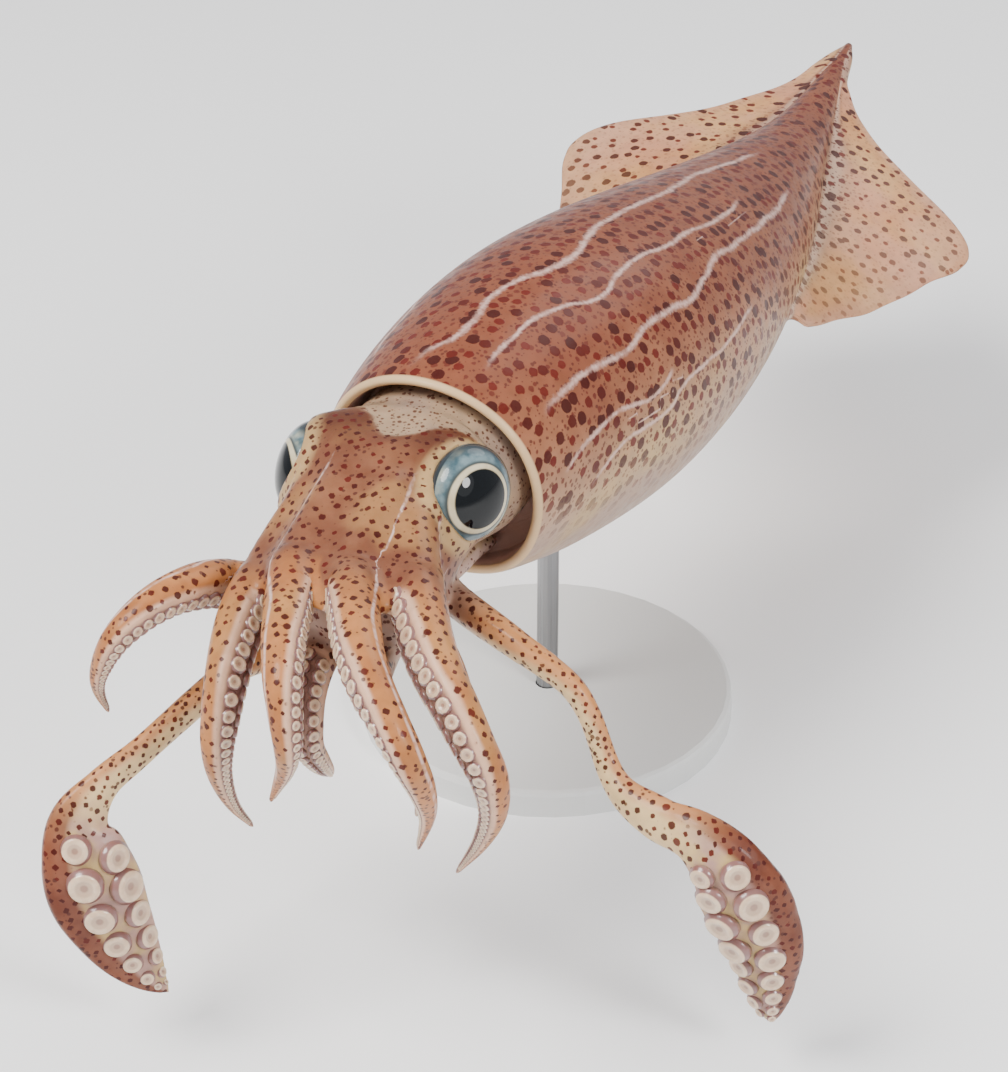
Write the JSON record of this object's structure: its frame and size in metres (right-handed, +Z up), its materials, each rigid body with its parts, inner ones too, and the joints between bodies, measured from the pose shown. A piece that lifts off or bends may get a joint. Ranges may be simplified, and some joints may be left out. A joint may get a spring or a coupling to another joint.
{
  "type": "veined squid",
  "caption": "Life-size veined squid in a swimming pose, arms spread and tentacles hanging, held above a round base by a short rod.",
  "frame": {"origin": "middle of the stand base's underside, on the floor", "axes": "+Z up, +Y from the head toward the tail, +X to the animal's left"},
  "size_m": [0.1843, 0.4142, 0.1475],
  "materials": {
    "mantle_skin": "moist gloss skin, orange-brown with dark red spots and pale wavy streaks",
    "fin_skin": "moist gloss skin, pale orange with sparse dark red spots",
    "head_skin": "moist gloss skin, orange with dark red-brown spots",
    "arm_skin": "moist gloss skin, orange back and pale mauve sucker side",
    "tentacle_skin": "moist gloss skin, cream-orange stalk and red-brown club back",
    "eye": "clear gloss over a silver iris and a black pupil",
    "stand_paint": "satin off-white paint",
    "stand_steel": "fine brushed"
  },
  "bodies": {
    "root": {"arm_left_1_root": "arm_skin", "arm_left_1_tip": "arm_skin", "arm_left_2_root": "arm_skin", "arm_left_2_tip": "arm_skin", "arm_left_3_root": "arm_skin", "arm_left_3_tip": "arm_skin", "arm_left_4_root": "arm_skin", "arm_left_4_tip": "arm_skin", "arm_right_1_root": "arm_skin", "arm_right_1_tip": "arm_skin", "arm_right_2_root": "arm_skin", "arm_right_2_tip": "arm_skin", "arm_right_3_root": "arm_skin", "arm_right_3_tip": "arm_skin", "arm_right_4_root": "arm_skin", "arm_right_4_tip": "arm_skin", "club_left": "tentacle_skin", "club_right": "tentacle_skin", "eye_left": "eye", "eye_right": "eye", "fin_left": "fin_skin", "fin_right": "fin_skin", "funnel": "mantle_skin", "head": "head_skin", "mantle": "mantle_skin", "stand_base": "stand_paint", "stand_rod": "stand_steel", "tentacle_left_root": "tentacle_skin", "tentacle_left_stalk": "tentacle_skin", "tentacle_right_root": "tentacle_skin", "tentacle_right_stalk": "tentacle_skin"}
  },
  "joints": []
}
